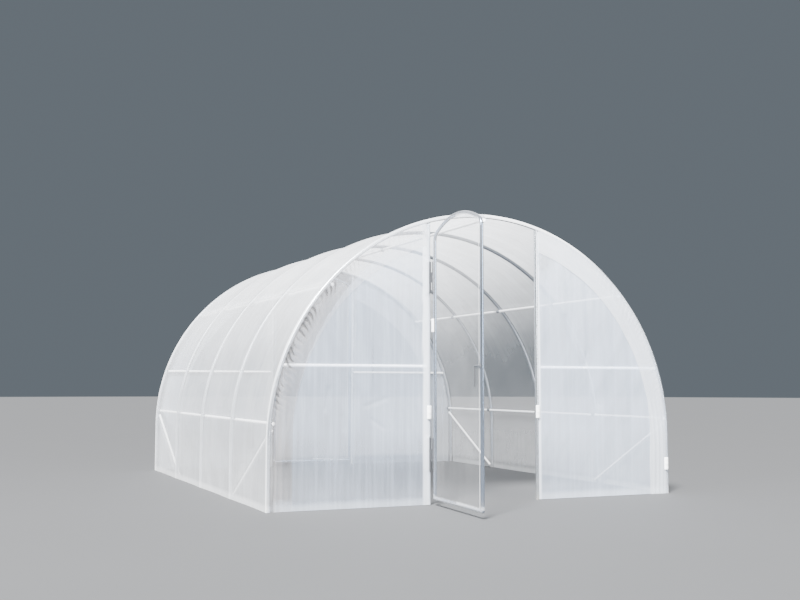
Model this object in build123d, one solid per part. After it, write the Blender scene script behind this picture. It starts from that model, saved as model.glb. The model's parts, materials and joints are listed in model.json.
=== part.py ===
from build123d import *
import os
from math import asin, cos, degrees, radians, sin, sqrt

# A walk-in polytunnel greenhouse: five arched hoops of steel tube under one clear film cover, with
# an arched door in each end wall. X runs across the tunnel, Y along it with the front end at -Y, and
# Z up. The origin is on the ground at the middle of the footprint. All sizes are in millimetres.

# Overall sizes
TUNNEL_WIDTH = 3000.0
TUNNEL_LENGTH = 3500.0
LEG_HEIGHT = 420.0
HOOP_COUNT = 5

# Tubes
HOOP_TUBE_RADIUS = 12.5
POST_TUBE_RADIUS = 12.5
PURLIN_TUBE_RADIUS = 10.0
BAR_TUBE_RADIUS = 10.0
BRACE_TUBE_RADIUS = 9.0

# Film, modelled thicker than the real 0.2 mm
COVER_THICKNESS = 2.2
END_FILM_THICKNESS = 2.2
HEM_BAND_THICKNESS = 2.0
FRONT_BAND_WIDTH = 165.0
REAR_BAND_WIDTH = 225.0
SEAT_GAP = 0.3

# Purlins, by their angle on the arch from the spring line, end bars, braces and posts
LOW_PURLIN_ANGLE = 4.5
UPPER_PURLIN_ANGLE = 42.2
END_BAR_HEIGHT = 892.0
POST_OFFSET = 409.0
BRACE_FOOT_HEIGHT = 26.0
BRACE_TOP_DROP = 41.0
BRACE_TOP_SETBACK = 8.0
CLAMP_LENGTH = 44.0
CLAMP_WALL = 3.5

# Doors
DOOR_TUBE_RADIUS = 11.0
DOOR_SIDE_CLEARANCE = 7.5
DOOR_HEAD_CLEARANCE = 49.5
DOOR_BOTTOM_HEIGHT = 46.0
DOOR_CORNER_RADIUS = 60.0
DOOR_ARCH_RISE = 125.0
DOOR_FILM_THICKNESS = 2.0
FRONT_DOOR_OPEN_ANGLE = 94.5

# Hinges, their axis set back over the front of the door post
HINGE_AXIS_SETBACK = 8.5
HINGE_FILM_CLEARANCE = 2.5
LOWER_HINGE_RISE = 279.0
UPPER_HINGE_DROP = 235.0
HINGE_LENGTH = 208.0
HINGE_KNUCKLE_RADIUS = 5.5
HINGE_PIN_RADIUS = 2.6
HINGE_BORE_CLEARANCE = 0.3
HINGE_KNUCKLE_GAP = 0.6
HINGE_LEAF_WIDTH = 12.0
HINGE_LEAF_THICKNESS = 3.0
HINGE_TONGUE_THICKNESS = 1.8

# Door latch, a bent rod under a saddle on the free stile
LATCH_HEIGHT = 885.0
LATCH_ROD_RADIUS = 4.0
LATCH_PIN_END = 12.0
LATCH_REACH = 71.0
LATCH_DROP = 122.0
LATCH_BEND_RADIUS = 12.0
SADDLE_WIDTH = 14.0
SADDLE_WALL = 2.0
SADDLE_FOOT = 9.0

# White clips that hold the film on the tubes
CLIP_LENGTH = 86.0
CLIP_RADIUS = 15.0
CLIP_PROUD = 9.0
FRONT_LEFT_CLIP_HEIGHT = 594.0
FRONT_RIGHT_CLIP_HEIGHT = 592.0
REAR_RIGHT_CLIP_HEIGHT = 587.0
HOOP_CLIP_HEIGHT = 213.0
FRONT_DOOR_CLIP_DROP = 315.0
REAR_DOOR_CLIP_DROP = 365.0

# Worked out from the sizes above
HOOP_RADIUS = TUNNEL_WIDTH / 2 - COVER_THICKNESS - SEAT_GAP - HOOP_TUBE_RADIUS
COVER_INNER_RADIUS = HOOP_RADIUS + HOOP_TUBE_RADIUS + SEAT_GAP
COVER_OUTER_RADIUS = COVER_INNER_RADIUS + COVER_THICKNESS
END_TUBE_RADIUS = max(HOOP_TUBE_RADIUS, POST_TUBE_RADIUS)
END_HOOP_Y = (
    TUNNEL_LENGTH / 2 - HEM_BAND_THICKNESS - END_FILM_THICKNESS - SEAT_GAP - END_TUBE_RADIUS
)
HOOP_SPACING = 2 * END_HOOP_Y / (HOOP_COUNT - 1)
COVER_END_Y = END_HOOP_Y + END_TUBE_RADIUS + SEAT_GAP
END_FILM_OUTER_Y = COVER_END_Y + END_FILM_THICKNESS
PURLIN_RADIUS = HOOP_RADIUS - HOOP_TUBE_RADIUS - SEAT_GAP - PURLIN_TUBE_RADIUS
LOW_PURLIN_HEIGHT = LEG_HEIGHT + PURLIN_RADIUS * sin(radians(LOW_PURLIN_ANGLE))
BRACE_TOP_HEIGHT = LOW_PURLIN_HEIGHT - BRACE_TOP_DROP
DOOR_HALF_WIDTH = POST_OFFSET - POST_TUBE_RADIUS - DOOR_SIDE_CLEARANCE - DOOR_TUBE_RADIUS
DOOR_CROWN_HEIGHT = (
    LEG_HEIGHT + HOOP_RADIUS - HOOP_TUBE_RADIUS - DOOR_HEAD_CLEARANCE - DOOR_TUBE_RADIUS
)
DOOR_SPRING_HEIGHT = DOOR_CROWN_HEIGHT - DOOR_ARCH_RISE
DOOR_CROWN_RADIUS = (
    (DOOR_HALF_WIDTH - DOOR_CORNER_RADIUS) ** 2 + DOOR_ARCH_RISE**2 - DOOR_CORNER_RADIUS**2
) / (2 * (DOOR_ARCH_RISE - DOOR_CORNER_RADIUS))
DOOR_FILM_OUTER = DOOR_TUBE_RADIUS + SEAT_GAP + DOOR_FILM_THICKNESS
LOWER_HINGE_HEIGHT = DOOR_BOTTOM_HEIGHT + LOWER_HINGE_RISE
UPPER_HINGE_HEIGHT = DOOR_SPRING_HEIGHT - UPPER_HINGE_DROP
HINGE_AXIS_OFFSET = POST_OFFSET - POST_TUBE_RADIUS + HINGE_AXIS_SETBACK
HINGE_AXIS_PROUD = END_FILM_OUTER_Y - END_HOOP_Y + HINGE_FILM_CLEARANCE + HINGE_KNUCKLE_RADIUS
HOOP_Y = [-END_HOOP_Y + HOOP_SPACING * i for i in range(HOOP_COUNT)]

FRONT, REAR = -1, 1
LEFT, RIGHT = -1, 1
ENDS = {"front": FRONT, "rear": REAR}
SIDES = {"left": LEFT, "right": RIGHT}

os.makedirs("parts", exist_ok=True)


def save(name, shape):
    """Write one node's STEP file."""
    export_step(shape, f"parts/{name}.step")


def joined(solids):
    """Put solids that don't touch into one node."""
    return Compound(children=[s for part in solids for s in part.solids()])


def on_arch(radius, angle):
    """X and Z of a point on the tunnel's arch, by its angle from the right spring line."""
    return radius * cos(radians(angle)), LEG_HEIGHT + radius * sin(radians(angle))


def arch_path(radius, y):
    """Leg, half circle and leg, from the left foot to the right foot."""
    left_leg = Line((-radius, y, 0), (-radius, y, LEG_HEIGHT))
    arch = ThreePointArc(
        (-radius, y, LEG_HEIGHT), (0, y, LEG_HEIGHT + radius), (radius, y, LEG_HEIGHT)
    )
    right_leg = Line((radius, y, LEG_HEIGHT), (radius, y, 0))
    return Wire([left_leg, arch, right_leg])


def hoop(y, tube_radius):
    """One bent hoop with both legs standing on the ground."""
    foot = Plane(origin=(-HOOP_RADIUS, y, 0), z_dir=(0, 0, 1))
    return sweep(foot * Circle(tube_radius), path=arch_path(HOOP_RADIUS, y))


def tube(start, end, tube_radius):
    """A straight round tube between two points."""
    axis = Vector(*end) - Vector(*start)
    return Solid.make_cylinder(tube_radius, axis.length, Plane(origin=start, z_dir=axis))


def box(x_range, y_range, z_range):
    """A block between two values on each axis, given in either order."""
    corners = [sorted(r) for r in (x_range, y_range, z_range)]
    size = [high - low for low, high in corners]
    return Pos(*[low for low, high in corners]) * Box(
        *size, align=(Align.MIN, Align.MIN, Align.MIN)
    )


def flat_plate(outline, y_near, y_far):
    """A plate across the tunnel, from its outline in X and Z."""
    face = Plane(origin=(0, y_near, 0), x_dir=(1, 0, 0), z_dir=(0, -1, 0)) * outline
    return extrude(face, amount=y_near - y_far)


def purlin(angle):
    """A tube along the tunnel under all hoops."""
    x, z = on_arch(PURLIN_RADIUS, angle)
    end = END_HOOP_Y + HOOP_TUBE_RADIUS
    return tube((x, -end, z), (x, end, z), PURLIN_TUBE_RADIUS)


def purlin_clamp(angle, y):
    """The sleeve that holds a purlin under a hoop, cut to lie against it."""
    x, z = on_arch(PURLIN_RADIUS, angle)
    purlin_end = END_HOOP_Y + HOOP_TUBE_RADIUS
    near = max(y - CLAMP_LENGTH / 2, -purlin_end)
    far = min(y + CLAMP_LENGTH / 2, purlin_end)
    inner = PURLIN_TUBE_RADIUS + SEAT_GAP
    bore = tube((x, near, z), (x, far, z), inner)
    sleeve = tube((x, near, z), (x, far, z), inner + CLAMP_WALL) - bore
    return sleeve & room_under_hoops(near, far)


def brace(side, end):
    """A diagonal from the end hoop, under the low purlin, to the next hoop's foot."""
    x = side * (HOOP_RADIUS - HOOP_TUBE_RADIUS - SEAT_GAP - BRACE_TUBE_RADIUS)
    top_y = end * (END_HOOP_Y - BRACE_TOP_SETBACK)
    foot_y = end * (END_HOOP_Y - HOOP_SPACING)
    return tube((x, foot_y, BRACE_FOOT_HEIGHT), (x, top_y, BRACE_TOP_HEIGHT), BRACE_TUBE_RADIUS)


def arch_outline(radius):
    """The arch with its legs as a flat face, down to the ground."""
    legs = Pos(0, LEG_HEIGHT / 2) * Rectangle(2 * radius, LEG_HEIGHT)
    upper = Pos(0, LEG_HEIGHT + radius / 2) * Rectangle(2 * radius, radius)
    return legs + (Pos(0, LEG_HEIGHT) * Circle(radius) & upper)


def room_under_hoops(y_near, y_far):
    """The space that the hoops leave free under them, between two places along the tunnel."""
    outline = arch_outline(HOOP_RADIUS - HOOP_TUBE_RADIUS - SEAT_GAP)
    return flat_plate(outline, y_near, y_far)


def door_post(side, end):
    """A post from the ground to the end hoop, its top cut to fit the hoop."""
    x, y = side * POST_OFFSET, end * END_HOOP_Y
    post = tube((x, y, 0), (x, y, LEG_HEIGHT + HOOP_RADIUS), POST_TUBE_RADIUS)
    return post & room_under_hoops(y - POST_TUBE_RADIUS, y + POST_TUBE_RADIUS)


def end_bar(side, end):
    """A level bar from the door post to the end hoop, its outer end cut to fit the hoop."""
    y = end * END_HOOP_Y
    start = side * (POST_OFFSET + POST_TUBE_RADIUS + SEAT_GAP)
    bar = tube((start, y, END_BAR_HEIGHT), (side * HOOP_RADIUS, y, END_BAR_HEIGHT), BAR_TUBE_RADIUS)
    return bar & room_under_hoops(y - BAR_TUBE_RADIUS, y + BAR_TUBE_RADIUS)


def cover_strip(angle_from, angle_to):
    """The part of the side cover between two angles of the arch."""
    ring = Circle(COVER_OUTER_RADIUS) - Circle(COVER_INNER_RADIUS)
    reach = 2 * COVER_OUTER_RADIUS
    wedge = make_face(
        Polyline(
            (0, 0),
            (reach * cos(radians(angle_from)), reach * sin(radians(angle_from))),
            (reach * cos(radians(angle_to)), reach * sin(radians(angle_to))),
            close=True,
        )
    )
    return flat_plate(Pos(0, LEG_HEIGHT) * (ring & wedge), -COVER_END_Y, COVER_END_Y)


def cover_wall(side):
    """The flat side of the cover, from the ground to where the arch begins."""
    return box(
        (side * COVER_INNER_RADIUS, side * COVER_OUTER_RADIUS),
        (-COVER_END_Y, COVER_END_Y),
        (0, LEG_HEIGHT),
    )


def beside_doorway(side, inner_edge):
    """All of an end wall's plane that lies on one side of the doorway."""
    middle = side * (inner_edge + TUNNEL_WIDTH / 2)
    return Pos(middle, TUNNEL_WIDTH / 2) * Rectangle(TUNNEL_WIDTH, TUNNEL_WIDTH)


def end_film(side, end):
    """The end wall's film beside the doorway, from the hoop to over the door post."""
    inner_edge = POST_OFFSET - POST_TUBE_RADIUS - END_FILM_THICKNESS
    outline = arch_outline(COVER_OUTER_RADIUS) & beside_doorway(side, inner_edge)
    return flat_plate(outline, end * COVER_END_Y, end * END_FILM_OUTER_Y)


def hem_bands(end):
    """The cover's free edge, turned over the end hoop and gathered on the end wall."""
    width = FRONT_BAND_WIDTH if end == FRONT else REAR_BAND_WIDTH
    ring = arch_outline(COVER_OUTER_RADIUS) - arch_outline(COVER_OUTER_RADIUS - width)
    inner_edge = POST_OFFSET + POST_TUBE_RADIUS
    near, far = end * END_FILM_OUTER_Y, end * (END_FILM_OUTER_Y + HEM_BAND_THICKNESS)
    return joined(
        [flat_plate(ring & beside_doorway(side, inner_edge), near, far) for side in (LEFT, RIGHT)]
    )


def door_outline(grow):
    """The closed door's outline, grown outwards from the centre line of its tube."""
    half = DOOR_HALF_WIDTH + grow
    corner = DOOR_CORNER_RADIUS + grow
    crown = DOOR_CROWN_RADIUS + grow
    body_height = DOOR_SPRING_HEIGHT - DOOR_BOTTOM_HEIGHT + grow
    body = Pos(0, DOOR_SPRING_HEIGHT - body_height / 2) * Rectangle(2 * half, body_height)
    corner_x = DOOR_HALF_WIDTH - DOOR_CORNER_RADIUS
    crown_z = DOOR_CROWN_HEIGHT - DOOR_CROWN_RADIUS
    lean = asin(corner_x / (DOOR_CROWN_RADIUS - DOOR_CORNER_RADIUS))
    tangent_x, tangent_z = crown * sin(lean), crown_z + crown * cos(lean)
    corner_mid = (90 - degrees(lean)) / 2
    mid_x = corner_x + corner * cos(radians(corner_mid))
    mid_z = DOOR_SPRING_HEIGHT + corner * sin(radians(corner_mid))
    head = make_face(
        [
            Line((-half, DOOR_SPRING_HEIGHT), (half, DOOR_SPRING_HEIGHT)),
            ThreePointArc((half, DOOR_SPRING_HEIGHT), (mid_x, mid_z), (tangent_x, tangent_z)),
            ThreePointArc(
                (tangent_x, tangent_z), (0, crown_z + crown), (-tangent_x, tangent_z)
            ),
            ThreePointArc((-tangent_x, tangent_z), (-mid_x, mid_z), (-half, DOOR_SPRING_HEIGHT)),
        ]
    )
    return body + head


def door_frame(end):
    """The bent tube round the door's sides and top, with a rail along the bottom."""
    y = end * END_HOOP_Y
    rim = door_outline(0).face().outer_wire().moved(
        Location(Plane(origin=(0, y, 0), x_dir=(1, 0, 0), z_dir=(0, -1, 0)))
    )
    edges = rim.edges()
    bottom = edges.sort_by(Axis.Z)[0]
    bend = Wire([e for e in edges if e != bottom])
    foot = Plane(origin=(-DOOR_HALF_WIDTH, y, DOOR_BOTTOM_HEIGHT), z_dir=(0, 0, 1))
    bow = sweep(foot * Circle(DOOR_TUBE_RADIUS), path=bend)
    rail = tube(
        (-DOOR_HALF_WIDTH, y, DOOR_BOTTOM_HEIGHT),
        (DOOR_HALF_WIDTH, y, DOOR_BOTTOM_HEIGHT),
        DOOR_TUBE_RADIUS,
    )
    corners = [
        Pos(x, y, DOOR_BOTTOM_HEIGHT) * Sphere(DOOR_TUBE_RADIUS)
        for x in (-DOOR_HALF_WIDTH, DOOR_HALF_WIDTH)
    ]
    return bow + rail + corners


def door_film(end):
    """The film stretched over the outside of the door's frame."""
    near = end * (END_HOOP_Y + DOOR_TUBE_RADIUS + SEAT_GAP)
    return flat_plate(
        door_outline(DOOR_TUBE_RADIUS), near, near + end * DOOR_FILM_THICKNESS
    )


def door_latch(end):
    """A bent rod across the free stile, and the saddle that holds it on the film."""
    x, z = DOOR_HALF_WIDTH, LATCH_HEIGHT
    face_y = end * (END_HOOP_Y + DOOR_FILM_OUTER)
    rod_out = SEAT_GAP + LATCH_ROD_RADIUS
    y = face_y + end * rod_out
    path = FilletPolyline(
        (x + LATCH_PIN_END, y, z),
        (x - LATCH_REACH, y, z),
        (x - LATCH_REACH, y, z - LATCH_DROP),
        radius=LATCH_BEND_RADIUS,
    )
    pin_end = Plane(origin=(x + LATCH_PIN_END, y, z), z_dir=(-1, 0, 0))
    rod = sweep(pin_end * Circle(LATCH_ROD_RADIUS), path=path)
    inner = LATCH_ROD_RADIUS + SEAT_GAP
    outer = inner + SADDLE_WALL
    slot = Pos(0, rod_out) * Circle(inner) + Pos(0, rod_out / 2) * Rectangle(2 * inner, rod_out)
    hood = Pos(0, rod_out) * Circle(outer) + Pos(0, rod_out / 2) * Rectangle(2 * outer, rod_out)
    feet = Pos(0, SADDLE_WALL / 2) * Rectangle(2 * (outer + SADDLE_FOOT), SADDLE_WALL)
    above_film = Pos(0, outer) * Rectangle(2 * (outer + SADDLE_FOOT), 2 * outer)
    section = (hood + feet - slot) & above_film
    side_view = Plane(origin=(x, face_y, z), x_dir=(0, 0, 1), z_dir=(-end, 0, 0))
    saddle = extrude(side_view * section, amount=SADDLE_WIDTH / 2, both=True)
    return joined([rod, saddle])


def film_clip(x, z, face_y, end):
    """A snap-on clip over the film, a half round lying on its flat side."""
    rod = Pos(x, face_y + end * (CLIP_PROUD - CLIP_RADIUS), z) * Cylinder(CLIP_RADIUS, CLIP_LENGTH)
    outside = box(
        (x - CLIP_RADIUS, x + CLIP_RADIUS),
        (face_y, face_y + end * CLIP_RADIUS),
        (z - CLIP_LENGTH, z + CLIP_LENGTH),
    )
    return rod & outside


def hinge_levels():
    """Heights where each hinge's three knuckles begin and end."""
    third = HINGE_LENGTH / 3
    for middle in (LOWER_HINGE_HEIGHT, UPPER_HINGE_HEIGHT):
        yield [middle - HINGE_LENGTH / 2 + third * i for i in range(4)]


def hinge_pin(low, high, radius, end):
    """A cylinder on the hinges' axis."""
    y = end * (END_HOOP_Y + HINGE_AXIS_PROUD)
    return tube((-HINGE_AXIS_OFFSET, y, low), (-HINGE_AXIS_OFFSET, y, high), radius)


def hinge_half(near, side, face_y, levels, knuckles, end):
    """A leaf that lies on the film, with a tapered tongue to each of its knuckles."""
    far = near + side * HINGE_LEAF_WIDTH
    outer_y = face_y + end * HINGE_LEAF_THICKNESS
    half = box((near, far), (face_y, outer_y), (levels[0], levels[3]))
    axis_place = Pos(-HINGE_AXIS_OFFSET, end * (END_HOOP_Y + HINGE_AXIS_PROUD))
    rim = axis_place * Edge.make_circle(HINGE_KNUCKLE_RADIUS)
    root = Line((near, outer_y - end * HINGE_TONGUE_THICKNESS), (near, outer_y))
    section = make_hull([rim, root])
    for low, high in knuckles:
        half += extrude(Pos(0, 0, low) * section, amount=high - low, dir=(0, 0, 1))
    return half


def post_hinges(end):
    """The hinge halves on the door post, each with two knuckles and the pin."""
    halves = []
    near = -HINGE_AXIS_OFFSET - HINGE_KNUCKLE_RADIUS - HINGE_KNUCKLE_GAP
    for levels in hinge_levels():
        knuckles = [(levels[0], levels[1]), (levels[2], levels[3])]
        half = hinge_half(near, LEFT, end * END_FILM_OUTER_Y, levels, knuckles, end)
        halves.append(half + hinge_pin(levels[0], levels[3], HINGE_PIN_RADIUS, end))
    return joined(halves)


def door_hinges(end):
    """The hinge halves on the door, each with one knuckle round the pin."""
    halves = []
    near = -DOOR_HALF_WIDTH - DOOR_TUBE_RADIUS
    face_y = end * (END_HOOP_Y + DOOR_FILM_OUTER)
    bore_radius = HINGE_PIN_RADIUS + HINGE_BORE_CLEARANCE
    for levels in hinge_levels():
        knuckle = (levels[1] + HINGE_KNUCKLE_GAP, levels[2] - HINGE_KNUCKLE_GAP)
        half = hinge_half(near, RIGHT, face_y, levels, [knuckle], end)
        halves.append(half - hinge_pin(levels[0], levels[3], bore_radius, end))
    return joined(halves)


def hung(shape, end):
    """A door piece as it hangs: the rear door closed, the front one swung out on its hinges."""
    if end == REAR:
        return shape
    pin = Axis((-HINGE_AXIS_OFFSET, -END_HOOP_Y - HINGE_AXIS_PROUD, 0), (0, 0, 1))
    return shape.rotate(pin, -FRONT_DOOR_OPEN_ANGLE)


HOOP_NAMES = ("front_hoop", "second_hoop", "middle_hoop", "fourth_hoop", "rear_hoop")
for name, hoop_y in zip(HOOP_NAMES, HOOP_Y):
    save(name, hoop(hoop_y, HOOP_TUBE_RADIUS))

PURLINS = {
    "right_low_purlin": LOW_PURLIN_ANGLE,
    "right_upper_purlin": UPPER_PURLIN_ANGLE,
    "ridge_purlin": 90,
    "left_upper_purlin": 180 - UPPER_PURLIN_ANGLE,
    "left_low_purlin": 180 - LOW_PURLIN_ANGLE,
}
for name, angle in PURLINS.items():
    save(name, purlin(angle))
save("purlin_clamps", joined([purlin_clamp(a, y) for a in PURLINS.values() for y in HOOP_Y]))

for end_name, end in ENDS.items():
    for side_name, side in SIDES.items():
        save(f"{end_name}_{side_name}_brace", brace(side, end))
        save(f"{end_name}_{side_name}_post", door_post(side, end))
        save(f"{end_name}_{side_name}_bar", end_bar(side, end))
        save(f"{end_name}_{side_name}_film", end_film(side, end))
    save(f"{end_name}_hem_bands", hem_bands(end))
    save(f"{end_name}_post_hinges", post_hinges(end))

COVER_STRIPS = {
    "right_lower_cover": (0, UPPER_PURLIN_ANGLE),
    "right_upper_cover": (UPPER_PURLIN_ANGLE, 90),
    "left_upper_cover": (90, 180 - UPPER_PURLIN_ANGLE),
    "left_lower_cover": (180 - UPPER_PURLIN_ANGLE, 180),
}
for name, (angle_from, angle_to) in COVER_STRIPS.items():
    save(name, cover_strip(angle_from, angle_to))
for side_name, side in SIDES.items():
    save(f"{side_name}_cover_wall", cover_wall(side))

clips = [
    film_clip(-POST_OFFSET, FRONT_LEFT_CLIP_HEIGHT, -END_FILM_OUTER_Y, FRONT),
    film_clip(POST_OFFSET, FRONT_RIGHT_CLIP_HEIGHT, -END_FILM_OUTER_Y, FRONT),
    film_clip(POST_OFFSET, REAR_RIGHT_CLIP_HEIGHT, END_FILM_OUTER_Y, REAR),
    film_clip(
        HOOP_RADIUS - CLIP_RADIUS,
        HOOP_CLIP_HEIGHT,
        -END_FILM_OUTER_Y - HEM_BAND_THICKNESS,
        FRONT,
    ),
]
save("wall_clips", joined(clips))

DOOR_CLIP_DROPS = {"front": FRONT_DOOR_CLIP_DROP, "rear": REAR_DOOR_CLIP_DROP}
for end_name, end in ENDS.items():
    face = end * (END_HOOP_Y + DOOR_FILM_OUTER)
    clip_height = UPPER_HINGE_HEIGHT - DOOR_CLIP_DROPS[end_name]
    clip = film_clip(-DOOR_HALF_WIDTH, clip_height, face, end)
    save(f"{end_name}_door_frame", hung(door_frame(end), end))
    save(f"{end_name}_door_film", hung(door_film(end), end))
    save(f"{end_name}_door_latch", hung(door_latch(end), end))
    save(f"{end_name}_door_hinges", hung(door_hinges(end), end))
    save(f"{end_name}_door_clip", hung(clip, end))
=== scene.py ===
import json
from math import asin, cos, exp, pi, radians, sin, sqrt

import bmesh
import bpy
from mathutils import Matrix, Vector, noise


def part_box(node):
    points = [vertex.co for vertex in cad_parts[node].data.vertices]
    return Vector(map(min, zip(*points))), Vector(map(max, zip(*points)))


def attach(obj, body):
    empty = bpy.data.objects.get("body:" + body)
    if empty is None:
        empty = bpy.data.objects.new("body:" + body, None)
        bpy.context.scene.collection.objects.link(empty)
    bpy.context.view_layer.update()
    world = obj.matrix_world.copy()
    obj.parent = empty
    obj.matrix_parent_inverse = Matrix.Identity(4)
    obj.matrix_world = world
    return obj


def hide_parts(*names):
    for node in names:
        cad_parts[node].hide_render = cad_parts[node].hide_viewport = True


bl_info = {
    "name": "Polytunnel dressing",
    "version": (1, 0, 0),
    "blender": (4, 5, 0),
    "location": "3D View > Sidebar > Tunnel",
    "description": "Film, clips, fastenings and finishes for a walk-in polytunnel frame",
    "category": "Object",
}

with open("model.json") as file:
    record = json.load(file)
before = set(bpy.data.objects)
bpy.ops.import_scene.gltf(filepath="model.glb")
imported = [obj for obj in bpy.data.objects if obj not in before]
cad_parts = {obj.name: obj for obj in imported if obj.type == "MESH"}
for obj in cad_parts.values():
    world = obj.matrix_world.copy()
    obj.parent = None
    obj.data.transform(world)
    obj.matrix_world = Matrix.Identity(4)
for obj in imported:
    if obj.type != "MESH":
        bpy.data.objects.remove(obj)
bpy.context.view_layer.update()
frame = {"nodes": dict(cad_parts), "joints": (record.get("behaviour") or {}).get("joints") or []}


def box_middle(node, axis):
    """The middle of a CAD node's box along x, y or z."""
    return sum(getattr(corner, axis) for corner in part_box(node)) / 2


# Places read from the frame, in metres. X runs across the tunnel, Y along it and Z up.
HOOP_NAMES = ("front_hoop", "second_hoop", "middle_hoop", "fourth_hoop", "rear_hoop")
PURLIN_NAMES = (
    "left_low_purlin", "left_upper_purlin", "ridge_purlin", "right_upper_purlin",
    "right_low_purlin",
)
HOOP_Y = [box_middle(name, "y") for name in HOOP_NAMES]
HOOP_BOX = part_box("front_hoop")
TUBE_RADIUS = (HOOP_BOX[1].y - HOOP_BOX[0].y) / 2
LEG_HEIGHT = HOOP_BOX[1].z - HOOP_BOX[1].x
BAY = HOOP_Y[1] - HOOP_Y[0]
END_Y = HOOP_Y[-1]
COVER_RADIUS = box_middle("right_cover_wall", "x")
POST_X = box_middle("rear_right_post", "x")
END_FILM_Y = box_middle("rear_right_film", "y")
BAND_Y = box_middle("rear_hem_bands", "y")
BAR_HEIGHT = box_middle("rear_right_bar", "z")
DOOR_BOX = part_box("rear_door_frame")
DOOR_TUBE = (DOOR_BOX[1].y - DOOR_BOX[0].y) / 2
DOOR_HALF = DOOR_BOX[1].x - DOOR_TUBE
DOOR_CROWN = DOOR_BOX[1].z - DOOR_TUBE
DOOR_BOTTOM = DOOR_BOX[0].z + DOOR_TUBE
DOOR_OPEN_ANGLE = radians(max(frame["joints"][0]["range_deg"]))
HINGE_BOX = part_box("rear_post_hinges")
PIVOTS = {joint["child"]: Vector(joint["pos_m"]) for joint in frame["joints"]}

# Sizes of the CAD pieces that their boxes don't tell, in metres
DOOR_CORNER = 0.060
DOOR_RISE = 0.125
HINGE_LENGTH = 0.208
LEAF_THICKNESS = 0.003
LEAF_WIDTH = 0.012
CLIP_RADIUS = 0.015
HINGE_MIDDLES = (HINGE_BOX[0].z + HINGE_LENGTH / 2, HINGE_BOX[1].z - HINGE_LENGTH / 2)

# The cover's section from foot to foot, and the door's top: two corner arcs and a flat crown arc
SECTION = 2 * LEG_HEIGHT + pi * COVER_RADIUS
DOOR_SPRING = DOOR_CROWN - DOOR_RISE
CORNER_X = DOOR_HALF - DOOR_CORNER
CROWN_RADIUS = (CORNER_X**2 + DOOR_RISE**2 - DOOR_CORNER**2) / (2 * (DOOR_RISE - DOOR_CORNER))
CROWN_MEET = CROWN_RADIUS * CORNER_X / (CROWN_RADIUS - DOOR_CORNER)

# The photograph's view: where it was taken from, in metres, and how the camera was turned
PHOTO_WIDTH = 800
CAMERA_PLACE = Vector((-3.3726, -7.9939, 0.7741))
CAMERA_YAW = radians(23.8024)
CAMERA_PITCH = radians(4.5597)
CAMERA_ROLL = radians(0.07)
CAMERA_FOCAL_PIXELS = 1059.56
CAMERA_SENSOR = 36.0
CAMERA_REACH = 200.0

# The floor and the light: the sky, the sun, and the softboxes with their place, aim and power
FLOOR_RADIUS = 60
FLOOR_DROP = 0.001
SKY_COLOUR = (0.34, 0.40, 0.46, 1)
SKY_STRENGTH = 0.40
SUN_DIRECTION = Vector((0.42, 0.46, -0.78))
SUN_STRENGTH = 34.0
SUN_ANGLE = radians(14)
SOFTBOX_SIZE = 4.0
SOFTBOXES = (
    ("left softbox", Vector((-7.0, -5.0, 5.5)), Vector((-0.6, 0.0, 0.9)), 1300),
    ("right softbox", Vector((3.8, -8.8, 2.8)), Vector((0.3, -1.8, 1.0)), 1000),
)

FRONT, REAR = -1, 1
LEFT, RIGHT = -1, 1
ENDS = {"front": FRONT, "rear": REAR}
SIDES = {"left": LEFT, "right": RIGHT}


def length(name, default, description):
    """A size that a user can change."""
    return bpy.props.FloatProperty(
        name=name, description=description, default=default, unit="LENGTH"
    )


def colour(name, default, description):
    """A colour that a user can change."""
    return bpy.props.FloatVectorProperty(
        name=name, description=description, default=default, subtype="COLOR"
    )


class TunnelSizes(bpy.types.PropertyGroup):
    """Sizes of what is put on the frame."""

    cover_sag: length("Cover sag", 0.010, "How far the cover dips between two hoops")
    film_thickness: length(
        "Film thickness", 0.0014, "Layer spacing where film lies on film or tube"
    )
    front_band: length("Front band", 0.165, "How far the cover is turned over onto the front walls")
    rear_band: length("Rear band", 0.225, "How far the cover is turned over onto the rear walls")
    gather_spacing: length("Gather spacing", 0.042, "Distance between two gathers at the hoop")
    gather_depth: length("Gather depth", 0.0055, "Height of the gathers at the hoop")
    fold_depth: length("Fold depth", 0.007, "Depth of the soft folds in the end walls")
    door_fold_depth: length("Door fold depth", 0.004, "Depth of the soft folds in the doors' film")
    post_hem: length("Post hem", 0.0445, "How far the doubled film reaches from the door posts")
    foot_hem: length("Foot hem", 0.045, "Height of the doubled hem at the foot of the end walls")
    clip_wall: length("Clip wall", 0.0022, "Wall thickness of the snap-on clips")
    bolt_size: length("Bolt head", 0.0105, "Width across the corners of the bolt heads")
    screw_size: length(
        "Screw head", 0.0074, "Width of the heads of the hinges' and latches' screws"
    )


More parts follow.
